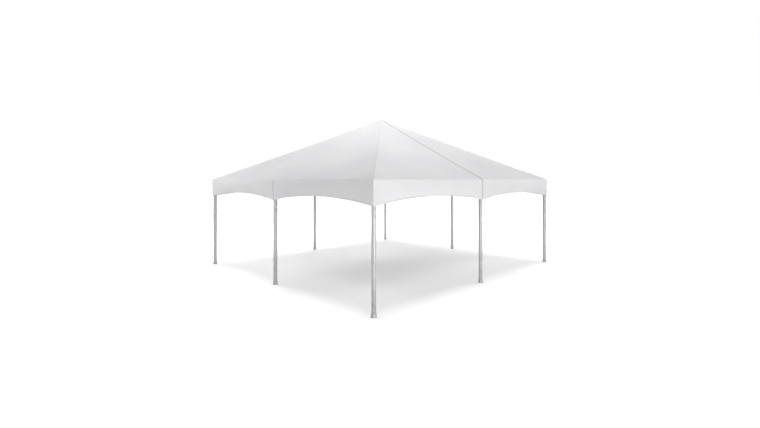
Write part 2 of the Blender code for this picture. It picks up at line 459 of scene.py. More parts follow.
@dataclass(frozen=True)
class StudioFloor:
    """A matt white paper sweep, with a glow for the camera alone that paints the marquee's shadow and takes
    the rest out to pure white.
    """

    name: str = "white_paper_sweep_painted_shadow"
    colour: str = "#F6F6F6"
    middle: float = 0.07  # the glow under the peak, where the painted shadow is darkest
    under: float = 0.09  # what it gains under the marquee, out to its sides, as the painted shadow fades
    sides: tuple[float, float] = (0.0, 3.0)
    beside: float = 0.25  # what it gains past the marquee's edges, where the painted shadow ends in its footprint's square
    edge: tuple[float, float] = (2.7, 3.35)
    beyond: float = 0.65  # and what it gains out to the horizon
    away: tuple[float, float] = (4.5, 12.0)

    def make(self) -> Material:
        """Makes the material.

        Returns:
            The material.
        """
        material, tree, shader = new_material(self.name, Roughness=1.0, Specular_IOR_Level=0.0)
        shader.inputs["Base Color"].default_value = linear(self.colour)
        shader.inputs["Emission Color"].default_value = (1, 1, 1, 1)
        solid = add_node(tree, "ShaderNodeTexCoord").outputs["Object"]
        length = add_node(tree, "ShaderNodeVectorMath", {"operation": "LENGTH"}, {0: solid})
        round_off = length.outputs["Value"]
        level = add_node(tree, "ShaderNodeVectorMath", {"operation": "ABSOLUTE"}, {0: solid}).outputs[0]
        x, y, _ = add_node(tree, "ShaderNodeSeparateXYZ", links={0: level}).outputs
        square = add_node(tree, "ShaderNodeMath", {"operation": "MAXIMUM"}, {0: x, 1: y}).outputs[0]
        # the glow is least under the peak and climbs to the marquee's edges and past them: a painted shadow
        # of the marquee
        below = {}
        for distance, (start, end), gain, curve in (
            (round_off, self.sides, self.under, "SMOOTHSTEP"),
            (square, self.edge, self.beside, "LINEAR"),
            (round_off, self.away, self.beyond, "LINEAR"),
        ):
            ends = {"interpolation_type": curve, "From Min": start, "From Max": end, "To Max": gain}
            rise = add_node(tree, "ShaderNodeMapRange", ends, {"Value": distance}).outputs[0]
            total = add_node(tree, "ShaderNodeMath", {"operation": "ADD", 1: self.middle}, {0: rise, **below})
            below = {1: total.outputs[0]}
        seen = add_node(tree, "ShaderNodeLightPath").outputs["Is Camera Ray"]
        shown = add_node(tree, "ShaderNodeMath", {"operation": "MULTIPLY"}, {0: seen, **below}).outputs[0]
        feed(tree, shader, {"Emission Strength": shown})
        return material


class Coat(NamedTuple):
    """A finish's material, and the record's slot that it stands for."""

    material: Material
    slot: Slot


class Finishes:
    """Every finish on the marquee, made once."""

    def __init__(self) -> None:
        """Makes the materials."""
        hem = PvcTrim("white_pvc_hem_tape", "#D6D6D7", "#D0D0D2", 0.42)
        # the cord's grey is painted shade: the shadow line along the seams and the join
        cord = PvcTrim("pvc_cord_painted_seam_shade", "#A2A3A4", "#989899", 0.55)
        self.cloth = Coat(CoatedCloth().make(), Slot.CLOTH)
        self.hem = Coat(hem.make(), Slot.CLOTH)
        self.cord = Coat(cord.make(), Slot.CLOTH)
        self.aluminium = Coat(AnodisedAluminium().make(), Slot.TUBE)
        self.steel = Coat(GalvanisedSteel().make(), Slot.STEEL)
        self.zinc = Coat(ZincPlate().make(), Slot.STEEL)
        self.webbing = Coat(Webbing().make(), Slot.CLOTH)


def deselect() -> None:
    """Leaves nothing selected."""
    bpy.ops.object.select_all(action="DESELECT")


def make_active(piece: Object) -> None:
    """Selects one piece, and nothing else, as the active one.

    Args:
        piece: The piece.
    """
    deselect()
    piece.select_set(True)
    bpy.context.view_layer.objects.active = piece


def add_object(name: str, data: ID) -> Object:
    """Puts new data into the scene as an object.

    Args:
        name: The object's name.
        data: Its mesh, curve, lamp or camera.

    Returns:
        The object.
    """
    made = bpy.data.objects.new(name, data)
    bpy.context.scene.collection.objects.link(made)
    return made


@contextmanager
def shaping(piece: Object) -> Iterator[None]:
    """Opens a piece in edit mode, and closes it again.

    Args:
        piece: The piece that is shaped.

    Yields:
        Nothing.
    """
    make_active(piece)
    bpy.ops.object.mode_set(mode="EDIT")
    yield
    bpy.ops.object.mode_set(mode="OBJECT")


def pick(piece: Object, kind: Kind, test: Test) -> None:
    """Selects what meets a test on the open piece, and nothing else.

    Args:
        piece: The piece that is open in edit mode.
        kind: Whether faces or edges are tested.
        test: True for one that is wanted.
    """
    bpy.ops.mesh.select_mode(type=kind.value)
    bpy.ops.mesh.select_all(action="DESELECT")
    bm = bmesh.from_edit_mesh(piece.data)
    items = bm.faces if kind is Kind.FACES else bm.edges
    for item in items:
        item.select_set(test(item))
    bmesh.update_edit_mesh(piece.data)


def bevel_edges(piece: Object, width: float, test: Test) -> None:
    """Rounds the edges of a piece that meet a test, in two steps.

    Args:
        piece: The piece.
        width: The bevel's width.
        test: True for an edge that is rounded.
    """
    with shaping(piece):
        pick(piece, Kind.EDGES, test)
        bpy.ops.mesh.bevel(offset=width, segments=2, profile=0.5, clamp_overlap=True)


def round_bar(name: str, radius: float, low: float, high: float, sides: int) -> Object:
    """Adds a solid round bar along Z.

    Args:
        name: Its name.
        radius: Its radius.
        low: Where it starts.
        high: Where it ends.
        sides: Its number of flats.

    Returns:
        The bar, at the origin.
    """
    deselect()
    bpy.ops.mesh.primitive_cylinder_add(
        vertices=sides, radius=radius, depth=high - low, location=(0, 0, (low + high) / 2)
    )
    bar = bpy.context.active_object
    bpy.ops.object.transform_apply(location=True, rotation=True, scale=True)
    bar.name = bar.data.name = name
    return bar


def round_ring(place: tuple[float, float, float], radius: float, wire: float, steps: int) -> Object:
    """Adds a level ring of round wire.

    Args:
        place: Its centre.
        radius: Its radius, to the middle of the wire.
        wire: The wire's radius.
        steps: Its number of flats round the ring.

    Returns:
        The ring.
    """
    deselect()
    bpy.ops.mesh.primitive_torus_add(
        location=place, major_radius=radius, minor_radius=wire, major_segments=steps, minor_segments=8
    )
    ring = bpy.context.active_object
    bpy.ops.object.transform_apply(location=True, rotation=True, scale=True)
    return ring


def placing_along(place: Vector, direction: Vector) -> Matrix:
    """A placing whose Z axis points along a direction.

    Args:
        place: Where its origin is.
        direction: Where its Z axis points.

    Returns:
        The placing, with its X axis level.
    """
    along = direction.normalized()
    across = along.cross(UP)
    if across.length < MM:
        across = Vector((1, 0, 0))
    across.normalize()
    turn = Matrix((across, along.cross(across), along)).transposed().to_4x4()
    return Matrix.Translation(place) @ turn


def combine(piece: Object, tool: Object, change: Change) -> None:
    """Adds another piece to a piece or cuts it away, and removes the other.

    Args:
        piece: The piece that is changed.
        tool: The piece that is added or cut away.
        change: What it does.
    """
    make_active(piece)
    modifier = piece.modifiers.new("change", "BOOLEAN")
    modifier.operation = change.value
    modifier.solver = "EXACT"
    modifier.object = tool
    bpy.ops.object.modifier_apply(modifier=modifier.name)
    bpy.data.objects.remove(tool)


def thicken(piece: Object, thickness: float, offset: float) -> None:
    """Gives a sheet its thickness.

    Args:
        piece: The sheet.
        thickness: Its thickness.
        offset: Where that lies: 0 is half on either side, and -1 is all inside.
    """
    make_active(piece)
    solid = piece.modifiers.new("thickness", "SOLIDIFY")
    solid.thickness = thickness
    solid.offset = offset
    bpy.ops.object.modifier_apply(modifier=solid.name)


def join(name: str, parts: Sequence[Object]) -> Object:
    """Joins pieces into one object.

    Args:
        name: The name of the joined piece.
        parts: The pieces.

    Returns:
        The joined piece.
    """
    make_active(parts[0])
    for part in parts:
        part.select_set(True)
    bpy.ops.object.join()
    whole = bpy.context.active_object
    whole.name = whole.data.name = name
    return whole


def copy_to(master: Object, name: str, placing: Matrix) -> Object:
    """Copies a piece with its own mesh, placed in its mesh.

    Args:
        master: The piece that is copied.
        name: The copy's name.
        placing: Where the copy goes, from where the piece is.

    Returns:
        The copy.
    """
    copy = master.copy()
    copy.data = master.data.copy()
    bpy.context.scene.collection.objects.link(copy)
    copy.name = copy.data.name = name
    copy.data.transform(placing)
    return copy


def smooth(piece: Object, degrees: float) -> None:
    """Shades a piece smooth, apart from edges sharper than an angle."""
    make_active(piece)
    bpy.ops.object.shade_smooth_by_angle(angle=math.radians(degrees))


def face_out(piece: Object, merge: bool = True) -> None:
    """Turns a piece's faces out.

    Args:
        piece: The piece.
        merge: True if its doubles are merged first.
    """
    with shaping(piece):
        bpy.ops.mesh.select_all(action="SELECT")
        if merge:
            bpy.ops.mesh.remove_doubles(threshold=0.01 * MM)
        bpy.ops.mesh.normals_make_consistent(inside=False)


def map_round(piece: Object, radius: float) -> None:
    """Gives a piece turned about Z a map in metres round it and along it.

    Args:
        piece: The piece, still about the Z axis.
        radius: The radius that the distance round it is measured at.
    """
    mesh = piece.data
    while mesh.uv_layers:
        mesh.uv_layers.remove(mesh.uv_layers[0])
    layer = mesh.uv_layers.new(name=ROUND_MAP)
    for face in mesh.polygons:
        middle = math.atan2(face.center.y, face.center.x)
        for at in face.loop_indices:
            point = mesh.vertices[mesh.loops[at].vertex_index].co
            swing = math.remainder(math.atan2(point.y, point.x) - middle, 2 * math.pi)
            layer.data[at].uv = ((middle + swing) * radius, point.z)


def dress(piece: Object, coat: Coat) -> None:
    """Gives a piece its finish, makes it ride on the frame, and reports it.

    Args:
        piece: The finished piece.
        coat: Its finish.
    """
    piece.data.materials.clear()
    piece.data.materials.append(coat.material)
    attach(piece, BODY)
    piece.data.calc_loop_triangles()
    LOG.info("%s: %s triangles", piece.name, len(piece.data.loop_triangles))


def place_round(master: Object, kind: str, labels: Sequence[str], coat: Coat, node: str = "") -> None:
    """Copies a piece to the four sides or corners, dresses the copies, and removes the piece.

    Args:
        master: The piece at the front, or at the front left.
        kind: The start of the copies' names.
        labels: The rest of their names, in quarter turns.
        coat: Their finish.
        node: The start of the names of the CAD nodes that they stand for, if they do.
    """
    for side, label in zip(Side, labels):
        copy = copy_to(master, f"{kind}_{label}", side.turn)
        dress(copy, coat)
        if node:
            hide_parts(f"{node}_{label}")
    bpy.data.objects.remove(master)


def loft(name: str, sections: Array, around: bool) -> Object:
    """Skins a row of closed cross-sections, and maps it in metres along the row and round a section.

    Args:
        name: The piece's name.
        sections: Points by section, place in the section, and x, y and z.
        around: True if the last section joins the first, and otherwise the ends are closed.

    Returns:
        The piece, one closed body.
    """
    count, width = sections.shape[:2]
    index = np.arange(count * width).reshape(count, width)
    if around:
        index = np.vstack((index, index[:1]))
    beside = np.roll(index, -1, axis=1)
    quads = np.stack((index[:-1], beside[:-1], beside[1:], index[1:]), axis=-1).reshape(-1, 4)
    ends = [] if around else [index[0][::-1].tolist(), index[-1].tolist()]
    mesh = bpy.data.meshes.new(name)
    mesh.from_pydata(sections.reshape(-1, 3).tolist(), [], quads.tolist() + ends)

    middles = sections.mean(axis=1)[index[:, 0] // width]
    along = np.r_[0, np.cumsum(np.linalg.norm(np.diff(middles, axis=0), axis=1))]
    steps = np.linalg.norm(np.roll(sections[0], -1, axis=0) - sections[0], axis=1)
    across = np.r_[0, np.cumsum(steps)]
    spots = np.stack(np.meshgrid(along, across, indexing="ij"), axis=-1)
    quad_spots = np.stack((spots[:-1, :-1], spots[:-1, 1:], spots[1:, 1:], spots[1:, :-1]), axis=2)
    map_cloth(mesh, np.vstack((quad_spots.reshape(-1, 2), np.zeros((width * len(ends), 2)))))
    piece = add_object(name, mesh)
    face_out(piece, merge=False)
    return piece


def slab(name: str, points: Array, thickness: float) -> Object:
    """Makes a thin sheet on a grid of points, and maps it in metres along its rows and columns.

    Args:
        name: The piece's name.
        points: Points of its middle by row, column, and x, y and z.
        thickness: The sheet's thickness.

    Returns:
        The piece, one closed body.
    """
    rows, columns = points.shape[:2]
    index = np.arange(rows * columns).reshape(rows, columns)
    quads = np.stack((index[:-1, :-1], index[:-1, 1:], index[1:, 1:], index[1:, :-1]), axis=-1)
    mesh = bpy.data.meshes.new(name)
    mesh.from_pydata(points.reshape(-1, 3).tolist(), [], quads.reshape(-1, 4).tolist())
    down = np.cumsum(np.linalg.norm(np.diff(points[:, 0], axis=0, prepend=points[:1, 0]), axis=-1))
    along = np.cumsum(np.linalg.norm(np.diff(points[0], axis=0, prepend=points[0, :1]), axis=-1))
    v, u = np.meshgrid(down, along, indexing="ij")
    map_cloth(mesh, np.stack((u.ravel(), v.ravel()), axis=-1)[quads.ravel()])
    piece = add_object(name, mesh)
    thicken(piece, thickness, 0)
    face_out(piece, merge=False)
    return piece


def map_cloth(mesh: Mesh, values: Array) -> None:
    """Gives a mesh its map of the cut cloth: metres along and across for each corner of each face."""
    layer = mesh.uv_layers.new(name=CLOTH_MAP)
    layer.data.foreach_set("uv", values.astype(np.float32).ravel())


def smooth_step(value: Array) -> Array:
    """Rises smoothly from 0 at 0 to 1 at 1."""
    held = np.clip(value, 0, 1)
    return held * held * (3 - 2 * held)


@dataclass
class Cover:
    """The cover: one sheet of cloth from the peak to the valance's scalloped edge, with its seams and hem."""

    finishes: Finishes
    half: float = CAD_BOX[1].x  # from the middle to the valance
    peak: float = CAD_BOX[1].z
    eave: float = 2.150
    drop_at_post: float = 0.420
    drop_at_bay: float = 0.300
    thickness: float = 1.5 * MM
    fold_radius: float = 12 * MM  # over the eave
    hip_radius: float = 16 * MM  # of a level line round a corner
    hip_share: float = 0.45  # and at most this share of its distance from the middle
    peak_radius: float = 5 * MM
    seat: float = 9 * MM  # the cloth comes down this far between the fittings' caps, and lies on the tubes
    seat_reach: float = 0.9  # the distance over which it comes down
    panel_sag: float = 12 * MM  # between the rafters
    ridge_width: float = 0.25  # over which the cloth turns at a mid rafter
    crease: float = 1.4 * MM  # of the folds that run out of a corner
    crease_reach: float = 0.7
    creases: int = 16  # waves in a full turn about the corner
    crease_start: float = 0.25  # the distance from the corner over which they begin
    crease_edge: float = 0.12  # and from the eave
    billow_top: float = 0.22  # the valance's slope out under the eave
    billow_foot: float = 0.30  # and its slope in at the hem
    billow_at_post: float = 0.1  # share of the slopes that is left at the posts
    wave: float = 1.6 * MM  # of the valance, in and out
    wave_length: float = 0.46
    wave_start: float = 0.7  # radians, at the mid-side post
    lines: int = 72  # of the cloth's grid, from the middle of a side to the corner's rounding
    corner_lines: int = 3  # and round half a corner
    crowding: float = 0.75  # how much closer they lie at both ends
    roof_rows: int = 60
    fold_rows: int = 3
    valance_rows: int = 8
    seam_rows: int = 72  # of a seam, up the roof
    seam_gap: float = 1.5 * MM  # between its foot and the cloth's edge
    hem_height: float = 28 * MM
    lap_width: float = 60 * MM
    lap_height: float = 1 * MM
    join_width: float = 34 * MM  # the webbing over the join of the cover's halves
    cord_width: float = 13 * MM  # its cord down the valance
    cord_height: float = 2.5 * MM
    seam_width: float = 8 * MM  # the front and back valance's seam
    peak_turn: float = 36 * MM  # over which a seam turns level at the peak
    webbing_width: float = 45 * MM
    webbing_foot: float = 135 * MM  # below the eave
    webbing_gap: float = 0.1 * MM  # between it and the cloth
    webbing_thickness: float = 1.5 * MM
    patch_thickness: float = 1 * MM
    patch_reach: float = 0.34
    patch_rings: int = 9  # of a patch's grid
    patch_steps: int = 64  # and round it
    corner_hole: float = 40 * MM  # a corner patch begins this far from the corner
    weld_width: float = 45 * MM  # of the welds under the hips
    weld_rows: int = 60

    @property
    def pitch(self) -> float:
        """The roof's slope, in radians."""
        return math.atan2(self.peak - self.eave, self.half)

    @property
    def fold_run(self) -> float:
        """How far each side of the eave's sharp line the fold begins."""
        return self.fold_radius * math.tan((math.pi / 2 - self.pitch) / 2)

    @property
    def slope(self) -> float:
        """The roof's length from the eave's sharp line up to the peak."""
        return self.half / math.cos(self.pitch)

    def rounding(self, out: Array) -> Array:
        """The radius of a level line round a corner, less near the peak."""
        return np.minimum(self.hip_radius, self.hip_share * out)

    def drop(self, share: Array) -> Array:
        """The valance's depth below the eave: a circular arch over each bay.

        Args:
            share: Place along a side, from -1 at its left corner to 1.

        Returns:
            The depth.
        """
        rise = self.drop_at_post - self.drop_at_bay
        reach = self.half / 2
        radius = (reach**2 + rise**2) / (2 * rise)
        across = np.abs(np.abs(share) * self.half - reach)
        return self.drop_at_post - (np.sqrt(radius**2 - across**2) - (radius - rise))

    def sag(self, share: Array, out: Array) -> Array:
        """How far the roof lies below its flat side.

        Args:
            share: Place along a side, from -1 to 1.
            out: Distance from the middle to the level line.

        Returns:
            The distance down.
        """
        across = np.abs(share) * out
        past_ridge = across**2 / (across + self.ridge_width)
        full = 27  # the greatest product of three shares that add up to 1, times this, is 1
        panel = full * (1 - out / self.half) * (past_ridge / self.half) * ((out - across) / self.half)
        seated = smooth_step((self.half - out) / self.seat_reach) * smooth_step(out / self.seat_reach)
        from_corner, from_eave = self.half - across, self.half - out
        distance = np.hypot(from_corner, from_eave)
        angle = np.arctan2(from_eave, from_corner)
        fan = np.cos(self.creases * (angle - math.pi / 4)) * np.exp(-distance / self.crease_reach)
        held = smooth_step(distance / self.crease_start) * smooth_step(from_eave / self.crease_edge)
        return self.panel_sag * panel + self.seat * seated + self.crease * fan * held

    def billow(self, share: Array, depth: Array) -> Array:
        """How far the valance stands out from the eave's line.

        Args:
            share: Place along a side, from -1 to 1.
            depth: Place down the valance, from 0 to 1.

        Returns:
            The distance out.
        """
        curve = self.billow_top * depth - (self.billow_top + self.billow_foot) / 2 * depth**2
        fullness = self.billow_at_post + (1 - self.billow_at_post) * np.abs(np.sin(math.pi * share))
        free = np.sin(math.pi * np.abs(share)) ** 2
        waves = np.sin(2 * math.pi * share * self.half / self.wave_length + self.wave_start) * free
        return self.drop(share) * curve * fullness + self.wave * waves * depth

    def outer(self, share: Array, sigma: Array) -> Array:
        """Points of the outer face of the front side.

        Args:
            share: Place along the side, from -1 at its left corner to 1.
            sigma: Metres of cloth up from the eave, and below zero down the valance.

        Returns:
            An array of points.
        """
        share, sigma = np.broadcast_arrays(np.asarray(share, float), np.asarray(sigma, float))
        run, radius, pitch = self.fold_run, self.fold_radius, self.pitch
        turn = pitch + (run - np.clip(sigma, -run, run)) / (2 * run) * (math.pi / 2 - pitch)
        on_roof = np.maximum(sigma - run, 0)
        hanging = np.maximum(-sigma - run, 0)
        out = self.half - radius + radius * np.sin(turn) - on_roof * math.cos(pitch)
        height = self.eave - run + radius * np.cos(turn) + on_roof * math.sin(pitch) - hanging
        blunt = np.sqrt(out**2 + self.peak_radius**2) - out
        height = height - self.sag(share, out) * (sigma > run) - blunt * math.tan(pitch)
        out = out + self.billow(share, hanging / (self.drop(share) - run))
        round_off = self.rounding(out)
        short = out * (1 - np.abs(share))
        swing = np.clip(1 - short / np.maximum(round_off, MM), 0, 1) * math.pi / 4
        on_arc = swing > 0
        across = np.where(on_arc, out - round_off + round_off * np.sin(swing), np.abs(share) * out)
        out = np.where(on_arc, out - round_off + round_off * np.cos(swing), out)
        return np.stack((np.sign(share) * across, -out, height), axis=-1)

    def over_plan(self, x: Array, y: Array) -> Array:
        """Points of the roof's outer face above points of the plan.

        Args:
            x: To the right.
            y: To the back.

        Returns:
            An array of points.
        """
        x, y = np.broadcast_arrays(np.asarray(x, float), np.asarray(y, float))
        reach = np.maximum(np.abs(x), np.abs(y))
        turns = np.select([-y >= reach, x >= reach, y >= reach], [0, 1, 2], 3)
        across = np.choose(turns, (x, y, -x, -y))
        share = np.divide(across, reach, out=np.zeros_like(across), where=reach > 0)
        local = self.outer(share, (self.half - reach) / math.cos(self.pitch))
        level, out = local[..., 0], -local[..., 1]
        right = np.choose(turns, (level, out, -level, -out))
        back = np.choose(turns, (-out, level, out, -level))
        return np.stack((right, back, local[..., 2]), axis=-1)

    def crowded(self, count: int) -> Array:
        """Places from 0 to 1 that lie closer at both ends."""
        even = np.linspace(0, 1, count + 1)
        return even - self.crowding * np.sin(2 * math.pi * even) / (2 * math.pi)

    def columns(self, out: Array) -> Array:
        """Places along a side for the cloth's grid, a few of them round each corner.

        Args:
            out: Distance from the middle to the level line of each row.

        Returns:
            Places from -1 to 1, by row and column.
        """
        half = self.crowded(self.lines)
        arc = (self.rounding(out) / out)[:, None]
        corner = 1 - arc * np.linspace(1, 0, self.corner_lines + 1)[1:]
        straight = (1 - arc) * np.concatenate((-half[:0:-1], half))
        return np.hstack((-corner[:, ::-1], straight, corner))

    @property
    def edge_columns(self) -> Array:
        """Places along an eave for the cloth's grid, without the last, which is on the next side."""
        return self.columns(np.array([self.half]))[0, :-1]

    @staticmethod
    def all_round(local: Array) -> Array:
        """Puts points of the front side on all four sides, one side after the other."""
        return np.concatenate([local @ np.array(side.turn.to_3x3()).T for side in Side], axis=-2)

    def sheet(self) -> Object:
        """Builds the cloth in level rows: down the roof from the peak, over the eave and down the valance.

        Returns:
            The cloth, one closed sheet.
        """
        run, slope = self.fold_run, self.slope
        roof = run + (slope - self.peak_radius - run) * (1 - self.crowded(self.roof_rows))
        fold = run * (1 - 2 * np.arange(1, self.fold_rows + 1) / self.fold_rows)
        levels = np.concatenate((roof, fold))
        share = self.columns(self.half - np.maximum(levels, 0) * math.cos(self.pitch))
        sigma = np.repeat(levels[:, None], share.shape[1], axis=1)
        down = np.arange(1, self.valance_rows + 1)[:, None] / self.valance_rows
        sigma = np.vstack((sigma, -run - down * (self.drop(share[-1]) - run)))
        share = np.vstack((share, np.repeat(share[-1:], self.valance_rows, axis=0)))
        local = self.outer(share, sigma)
        points = self.all_round(local[:, :-1])
        rows, columns = points.shape[:2]
        index = np.arange(rows * columns).reshape(rows, columns)
        beside = np.roll(index, -1, axis=1)
        quads = np.stack((index[1:], beside[1:], beside[:-1], index[:-1]), axis=-1).reshape(-1, 4)
        fan = np.stack((index[0], beside[0], np.full(columns, index.size)), axis=-1)
        vertices = np.vstack((points.reshape(-1, 3), self.over_plan(np.zeros(1), np.zeros(1))))

        mesh = bpy.data.meshes.new("cover_cloth")
        mesh.from_pydata(vertices.tolist(), [], quads.tolist() + fan.tolist())
        spots = np.stack((local[..., 0], sigma), axis=-1)
        corners = np.stack((spots[1:, :-1], spots[1:, 1:], spots[:-1, 1:], spots[:-1, :-1]), axis=2)
        quad_spots = np.concatenate([corners] * len(Side), axis=1).reshape(-1, 2)
        map_cloth(mesh, np.vstack((quad_spots, np.tile((0.0, slope), (fan.size, 1)))))
        cloth = add_object("cover_cloth", mesh)
        thicken(cloth, self.thickness, -1)
        smooth(cloth, 60)
        return cloth

    def valance_band(self, name: str, foot: Array, profile: Profile) -> Object:
        """Builds a band round all four sides of the valance.

        Args:
            name: The band's name.
            foot: Metres of cloth below the eave at the band's lower edge, for each grid line of a side.
            profile: Its closed cross-section, as (up from the lower edge, out from the cloth's outer face).

        Returns:
            The band, one closed ring.
        """
        reach = max(up for up, _ in profile)
        edge = self.all_round(self.outer(self.edge_columns, -foot))
        rising = self.all_round(self.outer(self.edge_columns, reach - foot)) - edge
        level = np.cross(np.roll(edge, -1, axis=0) - np.roll(edge, 1, axis=0), rising)
        level /= np.linalg.norm(level, axis=-1, keepdims=True)
        sections = [edge + rising * (up / reach) + level * out for up, out in profile]
        return loft(name, np.stack(sections, axis=1), around=True)

    def hem(self) -> Object:
        """Builds the hem: a welded tape folded round the whole scalloped edge.

        Returns:
            The hem.
        """
        tape, lip, top = 1.1 * MM, 1.2 * MM, self.hem_height
        outside = [(top, 0.0), (top - lip, tape), (0.0, tape), (-lip, tape / 2)]
        inside = [(up, -self.thickness - out) for up, out in reversed(outside)]
        return self.valance_band("cover_hem", self.drop(self.edge_columns), outside + inside)

    def eave_webbing(self) -> Object:
        """Builds the webbing that is sewn inside the valance, under the rails, for the tie straps.

        Returns:
            The webbing.
        """
        near = -self.thickness - self.webbing_gap
        far, width = near - self.webbing_thickness, self.webbing_width
        profile = [(0.0, near), (width, near), (width, far), (0.0, far)]
        return self.valance_band("eave_webbing", np.full_like(self.edge_columns, self.webbing_foot), profile)

    def middle_normal(self, sigma: float) -> Vector:
        """The outward direction at the middle of the front side.

        Args:
            sigma: Metres of cloth up from the eave.

        Returns:
            The direction.
        """
        run = self.fold_run
        turn = self.pitch + (run - min(max(sigma, -run), run)) / (2 * run) * (math.pi / 2 - self.pitch)
        return Vector((0, -math.sin(turn), math.cos(turn)))

    def band(self, name: str, profile: Profile, sigmas: Sequence[float]) -> Object:
        """Builds a band that runs up the middle of the front side, on the cloth.

        Args:
            name: The band's name.
            profile: Its closed cross-section, as (across, above the cloth).
            sigmas: Metres of cloth up from the eave, at each of its sections.

        Returns:
            The band, one closed body.
        """
        across, above = np.array(profile).T
        sections = []
        for sigma in sigmas:
            normal = self.middle_normal(sigma)
            if sigma > self.fold_run:
                out = self.half - sigma * math.cos(self.pitch)
                points = self.over_plan(across, np.full_like(across, -out))
                normal = UP.lerp(normal, min(out / self.peak_turn, 1))
            else:
                points = self.outer(across / self.half, np.full_like(across, sigma))
            sections.append(points + above[:, None] * np.array(normal))
        return loft(name, np.array(sections), around=False)

    def seam_sections(self, top: float) -> list[float]:
        """Where a seam's sections lie, up from the hem.

        Args:
            top: Metres of cloth above the eave that it reaches, or 0 for a seam down the valance alone.

        Returns:
            Metres of cloth up from the eave.
        """
        run = self.fold_run
        valance = np.linspace(-self.drop_at_post + self.seam_gap, -run, self.valance_rows + 1)
        fold = np.linspace(-run, run, self.fold_rows + 1)[1:]
        rows = [*valance, *fold]
        if top > run:
            over_peak = top - self.peak_turn * np.linspace(1, 0, 5)
            rows += [*np.linspace(run, over_peak[0], self.seam_rows)[1:], *over_peak[1:]]
        return rows

    def seams(self) -> list[Object]:
        """Builds the seams at the posts, and the line where the cover's two halves are joined.

        The join runs from the right eave over the peak to the left eave, under a webbing. The grey of the
        cords and of that webbing is painted shade, the shadow line of a seam. At the front and the back the
        cloth is one piece, and only the valance is seamed.

        Returns:
            The laps, cords and webbings.
        """
        coats = self.finishes
        hanging = self.seam_sections(0.0)
        made = []
        for side in Side:
            joined = side in (Side.RIGHT, Side.LEFT)
            rows = self.seam_sections(self.slope) if joined else hanging
            cord = self.cord_width if joined else self.seam_width
            # the cords and the join's webbing are grey as painted shade of the seam lines
            bands = [
                ("lap", self.strip(self.lap_width, self.lap_height), rows, coats.hem),
                ("cord", self.strip(cord, self.cord_height), hanging, coats.cord),
            ]
            if joined:
                top = [sigma for sigma in rows if sigma >= hanging[-1]]
                bands.append(("join", self.strip(self.join_width, self.cord_height), top, coats.cord))
            for kind, profile, sigmas, coat in bands:
                seam = self.band(f"{kind}_{side.label}", profile, sigmas)
                seam.data.transform(side.turn)
                smooth(seam, 50)
                dress(seam, coat)
                made.append(seam)
        return made

    @staticmethod
    def strip(width: float, height: float) -> Profile:
        """The cross-section of a strip on the cloth, with thin edges.

        Args:
            width: Its width.
            height: Its height above the cloth.

        Returns:
            The section, as (across, above the cloth).
        """
        side, edge, sunk = width / 2, min(width / 4, 1.5 * MM), 0.5 * MM
        top = [(edge - side, height), (0, height), (side - edge, height)]
        return [(-side, -sunk), *top, (side, -sunk), (0, -sunk)]

    def patch(self, name: str, x: Array, y: Array) -> Object:
        """Builds a patch welded to the underside of the roof.

        Args:
            name: The patch's name.
            x: To the right, for each row and column of the patch.
            y: To the back, likewise.

        Returns:
            The patch, one closed sheet.
        """
        points = self.over_plan(x, y)
        # the patch's middle lies a little more than half its thickness under the cloth
        points[..., 2] -= (self.thickness + self.patch_thickness * 0.6) / math.cos(self.pitch)
        patch = slab(name, points, self.patch_thickness)
        smooth(patch, 50)
        dress(patch, self.finishes.cloth)
        return patch

    def patches(self) -> list[Object]:
        """Builds the peak and corner patches and the welds under the hips, all under the roof.

        Returns:
            The patches.
        """
        edge, reach, rings = self.half - self.fold_run, self.patch_reach, self.patch_rings
        angles = np.linspace(0, 2 * math.pi, self.patch_steps + 1)
        radii = np.linspace(self.peak_radius, reach, rings)
        made = [self.patch("peak_patch", np.outer(radii, np.cos(angles)), np.outer(radii, np.sin(angles)))]
        angles = np.linspace(0, math.pi / 2, self.patch_steps // 4 + 1)
        radii = np.linspace(self.corner_hole, reach, rings)
        quarter = np.outer(radii, np.cos(angles)) - edge, np.outer(radii, np.sin(angles)) - edge
        # a weld laps the peak's patch at one end and the corner's at the other
        along = np.linspace(reach * 0.8, edge - reach * 0.6, self.weld_rows)[:, None]
        beside = self.weld_width / 2 * np.linspace(-1, 1, 5)
        hip = -along + beside / math.sqrt(2), -along - beside / math.sqrt(2)
        for corner in Corner:
            turn = np.array(corner.turn.to_3x3())[:2, :2]
            for kind, (x, y) in (("corner_patch", quarter), ("hip_weld", hip)):
                turned = turn[0, 0] * x + turn[0, 1] * y, turn[1, 0] * x + turn[1, 1] * y
                made.append(self.patch(f"{kind}_{corner.label}", *turned))
        return made

    def build(self) -> None:
        """Builds the cover with everything sewn or welded to it."""
        cloth = self.sheet()
        dress(cloth, self.finishes.cloth)
        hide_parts(*(f"cover_{label}" for label in Side.labels()))
        hem, webbing = self.hem(), self.eave_webbing()
        for band, coat in ((hem, self.finishes.hem), (webbing, self.finishes.webbing)):
            smooth(band, 50)
            dress(band, coat)
        trims = [hem, webbing, *self.seams(), *self.patches()]
        # an arch is on the mean two thirds of its rise high
        rests_on = ["slip_fitting_crown", *(f"slip_fitting_{label}" for label in Corner.labels())]


